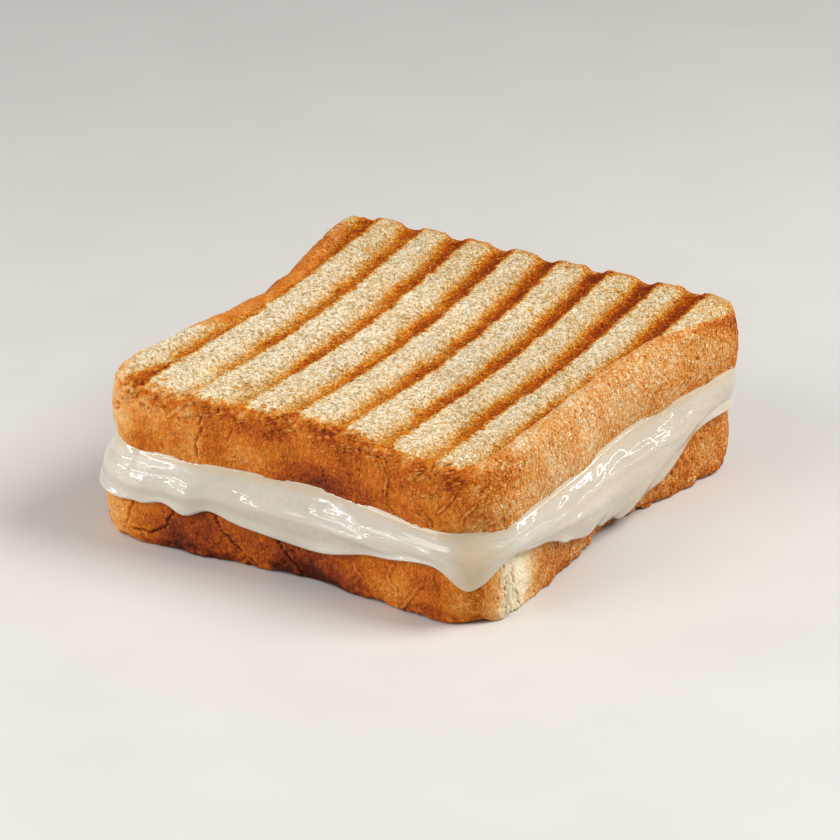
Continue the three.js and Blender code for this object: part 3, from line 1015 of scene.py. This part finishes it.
def crazed(tree, where, coarse, sand):
    """Short veins between the plates of a smooth crust. A sandy crust has none."""
    drift = add_node(tree, "ShaderNodeTexNoise", {"Vector": where, "Scale": 250.0, "Detail": 2.0})
    drifted = add_node(
        tree,
        "ShaderNodeVectorMath",
        {0: drift.outputs["Color"], 1: (DRIFT, DRIFT, DRIFT), 2: where},
        operation="MULTIPLY_ADD",
    )
    plates = add_node(
        tree,
        "ShaderNodeTexVoronoi",
        {"Vector": drifted.outputs[0], "Scale": 200.0},
        feature="DISTANCE_TO_EDGE",
    )
    broken = calculate(tree, "MULTIPLY", ranged(tree, coarse, 0.44, 0.58), ranged(tree, sand, 0.7, 0.4))
    return calculate(tree, "MULTIPLY", ranged(tree, plates.outputs["Distance"], 0.06, 0), broken)


def toasted_bread():
    material, tree, shader, where = new_material("toasted_bread")
    toast_and_shade, crust = attribute(tree, "toast_and_shade"), attribute(tree, "crust")
    crack, sand = attribute(tree, "crack"), attribute(tree, "sand")
    fine = grain(tree, where, 0.5, 2, 0.6)
    coarse = grain(tree, where, 1.5, 3, 0.6)
    patches = grain(tree, where, 5, 2, 0.5)
    flecks = grain(tree, where, 0.8, 1, 0.5, 0.8)
    leaning = add_node(
        tree,
        "ShaderNodeMapping",
        {"Vector": where, "Rotation": (math.radians(28), 0, 0), "Scale": (1, 1, 0.35)},
    )
    fibres = grain(tree, leaning.outputs["Vector"], 0.6, 2, 0.6)
    veins = crazed(tree, where, coarse, sand)
    # The same noises counted from their middle.
    speckle, mottle, patch, streak = (
        calculate(tree, "SUBTRACT", texture, 0.5) for texture in (fine, coarse, patches, fibres)
    )

    # Crumb: every grain toasts on its own, and stands lighter than the pits beside it, which get a painted
    # shade.
    browning_and_shade = calculate(tree, "MULTIPLY_ADD", speckle, 1.3, toast_and_shade)
    browning_and_shade = calculate(tree, "MULTIPLY_ADD", mottle, 0.4, browning_and_shade)
    crumb = ramp(tree, browning_and_shade, CRUMB_COLOURS)
    pits = ramp(tree, ranged(tree, flecks, 0.33, 0.6), PIT_SHADE)
    crumb = blended(tree, 1.0, crumb, pits, "MULTIPLY")

    # Crust: a sandy, fibrous skin with dark pores, painted as shade where its grain is low, and pale
    # scuffs, painted as highlights where it stands up, or a smoother one with pale veins.
    sandy = calculate(tree, "MULTIPLY", speckle, 0.8)
    sandy = calculate(tree, "MULTIPLY_ADD", streak, 0.8, sandy)
    sandy = calculate(tree, "SUBTRACT", sandy, ranged(tree, flecks, 0.62, 0.7, 0.0, 0.34))
    sandy = calculate(tree, "ADD", sandy, ranged(tree, flecks, 0.37, 0.29, 0.0, 0.3))
    skin = calculate(tree, "MULTIPLY_ADD", mottle, 0.35, toast_and_shade)
    skin = calculate(tree, "MULTIPLY_ADD", patch, 0.25, skin)
    skin = calculate(tree, "MULTIPLY_ADD", sandy, sand, skin)
    # Cracks are painted darker, as shade in them.
    skin = calculate(tree, "MULTIPLY_ADD", crack, 0.3, skin)
    skin = calculate(tree, "MULTIPLY_ADD", veins, -0.13, skin)
    crust_colour = ramp(tree, skin, CRUST_COLOURS)

    # The two meet in a speckled line.
    edge = calculate(tree, "MULTIPLY_ADD", speckle, 0.8, crust)
    share = ranged(tree, edge, 0.35, 0.65)
    colour = blended(tree, share, crumb, crust_colour)
    tree.links.new(colour, shader.inputs["Base Color"])
    polish = calculate(tree, "MULTIPLY_ADD", sand, 0.3, calculate(tree, "MULTIPLY", fine, -0.4))
    tree.links.new(calculate(tree, "ADD", polish, 0.62), shader.inputs["Roughness"])
    shader.inputs["Specular IOR Level"].default_value = 0.12

    # The finest grain, too small for the mesh.
    height = calculate(tree, "MULTIPLY_ADD", fine, 0.6, coarse)
    height = calculate(tree, "MULTIPLY_ADD", flecks, 0.7, height)
    height = calculate(tree, "MULTIPLY_ADD", fibres, 0.4, height)
    height = calculate(tree, "MULTIPLY_ADD", veins, 0.8, height)
    strength = calculate(tree, "MULTIPLY_ADD", sand, 0.8, 0.35, clamp=True)
    bump = add_node(tree, "ShaderNodeBump", {"Strength": strength, "Distance": 0.001, "Height": height})
    tree.links.new(bump.outputs["Normal"], shader.inputs["Normal"])
    return material


def melted_cheese():
    material, tree, shader, where = new_material("melted_cheese")
    thin_and_shade = attribute(tree, "thin_and_shade")
    cloud = grain(tree, where, 14, 2, 0.5)
    drawn_out = add_node(tree, "ShaderNodeMapping", {"Vector": where, "Scale": (0.45, 0.45, 1)})
    ripples = grain(tree, drawn_out.outputs["Vector"], 0.5, 2, 0.6)
    milk = blended(tree, ranged(tree, cloud, 0.2, 0.8), (0.65, 0.61, 0.53), (0.59, 0.55, 0.465))
    # The warm tint stands for bread showing through, and on the right side for a painted shade.
    colour = blended(tree, calculate(tree, "MULTIPLY", thin_and_shade, 0.8), milk, (0.62, 0.47, 0.27))
    tree.links.new(colour, shader.inputs["Base Color"])
    shader.inputs["Subsurface Weight"].default_value = 0.3
    shader.inputs["Subsurface Radius"].default_value = (1.0, 0.7, 0.4)
    shader.inputs["Subsurface Scale"].default_value = 0.004
    tree.links.new(ranged(tree, cloud, 0.2, 0.8, 0.22, 0.34), shader.inputs["Roughness"])
    shader.inputs["Coat Weight"].default_value = 0.9
    shader.inputs["Coat Roughness"].default_value = 0.06
    lumps = calculate(tree, "MULTIPLY", grain(tree, drawn_out.outputs["Vector"], 3, 2, 0.4), 0.4)
    height = calculate(tree, "MULTIPLY_ADD", ripples, 0.6, lumps)
    bump = add_node(tree, "ShaderNodeBump", {"Strength": 0.6, "Distance": 0.0004, "Height": height})
    tree.links.new(bump.outputs["Normal"], shader.inputs["Normal"])
    return material


# ---- Pieces ----
bread = toasted_bread()
cheese = melted_cheese()

top = slice_mesh("grilled_top_slice", TOP_SLICE, TOP_GRID, top_point)
top.data.materials.append(bread)
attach(top, "root")
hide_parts("top_slice")

random.seed(11)
crumbs = place_scraps("loose_crumbs", loose_crumbs(4000))
crumbs.data.materials.append(bread)
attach(crumbs, "root")

flakes = place_scraps("crust_flakes", crust_flakes(320))
flakes.data.materials.append(bread)
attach(flakes, "root")

# The lower slice is built from its underside, so its two rounded edges change places.
above, below = BOTTOM_SLICE["round_above"], BOTTOM_SLICE["round_below"]
upside_down = dict(BOTTOM_SLICE, round_above=below, round_below=above)
bottom = slice_mesh("grilled_bottom_slice", upside_down, BOTTOM_GRID, bottom_point)
bottom.data.materials.append(bread)
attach(bottom, "root")
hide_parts("bottom_slice")

filling = cheese_mesh("run_out_cheese")
filling.data.materials.append(cheese)
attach(filling, "root")
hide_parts("melted_cheese")


# ---- Table, light and camera ----
TABLE_COLOURS = (0.72, 0.71, 0.69), (0.70, 0.69, 0.67)
WARM, NEUTRAL = (1, 0.97, 0.93), (1, 1, 1)
# Each lamp: bearing from the front, height above the table in degrees, how far away it is, its width and
# height, its power and its colour.
LAMPS = {
    "key": (112, 50, 0.8, (0.4, 0.4), 5.4, WARM),
    "left": (-20, 38, 0.6, (0.3, 0.3), 1.35, WARM),
    "strip": (-38, 11, 0.8, (0.32, 0.015), 0.3, NEUTRAL),
    "low_strip": (-38, 3, 0.8, (0.3, 0.015), 0.3, NEUTRAL),
    "sheen": (-39, 9, 0.8, (0.28, 0.16), 0.25, NEUTRAL),
    "corner": (-66, 5, 0.8, (0.2, 0.02), 0.3, NEUTRAL),
    "side": (-72, 24, 0.8, (0.3, 0.3), 1, WARM),
    "rim": (143, 6, 0.8, (0.5, 0.012), 0.36, NEUTRAL),
}
CAMERA_BEARING, CAMERA_HEIGHT, CAMERA_DISTANCE = 32.6, 23.3, 1.275
CAMERA_AIM = (0, 0, 20.6)  # in the sandwich's own plan
FOCAL_LENGTH, SENSOR_WIDTH = 227.76, 36
SHIFT = (-4.5 / 840, -6.8 / 840)  # shares of the picture's width


def plain_floor():
    block = bmesh.new()
    bmesh.ops.create_grid(block, x_segments=1, y_segments=1, size=3)
    floor = finish_mesh("table_top", block)
    material, tree, shader, where = new_material("pale_table")
    shade = ranged(tree, grain(tree, where, 40, 2, 0.5), 0.3, 0.7)
    tree.links.new(blended(tree, shade, *TABLE_COLOURS), shader.inputs["Base Color"])
    shader.inputs["Roughness"].default_value = 0.7
    floor.data.materials.append(material)


def set_up(name, data, aim, bearing, height, distance):
    """Stands a lamp or the camera at a bearing and height from the point that it aims at."""
    holder = bpy.data.objects.new(name, data)
    bpy.context.scene.collection.objects.link(holder)
    turn, rise = math.radians(bearing), math.radians(height)
    away = Vector((math.sin(turn) * math.cos(rise), -math.cos(turn) * math.cos(rise), math.sin(rise)))
    holder.location = Vector(aim) + away * distance
    holder.rotation_mode = "QUATERNION"
    holder.rotation_quaternion = (-away).to_track_quat("-Z", "Y")
    return holder


def studio():
    world = bpy.data.worlds.new("studio")
    bpy.context.scene.world = world
    world.use_nodes = True
    background = world.node_tree.nodes["Background"]
    background.inputs["Color"].default_value = (1.0, 0.98, 0.96, 1)
    background.inputs["Strength"].default_value = 0.26
    for name, (bearing, height, distance, size, power, colour) in LAMPS.items():
        lamp = bpy.data.lights.new(name, "AREA")
        lamp.shape = "RECTANGLE"
        lamp.size, lamp.size_y = size
        lamp.energy = power
        lamp.color = colour
        set_up(name, lamp, (0, 0, 0), bearing, height, distance)


def camera():
    lens = bpy.data.cameras.new("camera")
    lens.sensor_width = SENSOR_WIDTH
    lens.lens = FOCAL_LENGTH
    lens.shift_x, lens.shift_y = SHIFT
    lens.clip_start, lens.clip_end = 0.1, 20
    bpy.context.scene.camera = set_up(
        "camera", lens, on_table(*CAMERA_AIM), CAMERA_BEARING, CAMERA_HEIGHT, CAMERA_DISTANCE
    )


plain_floor()
studio()
camera()
bpy.context.scene.view_settings.view_transform = "Standard"
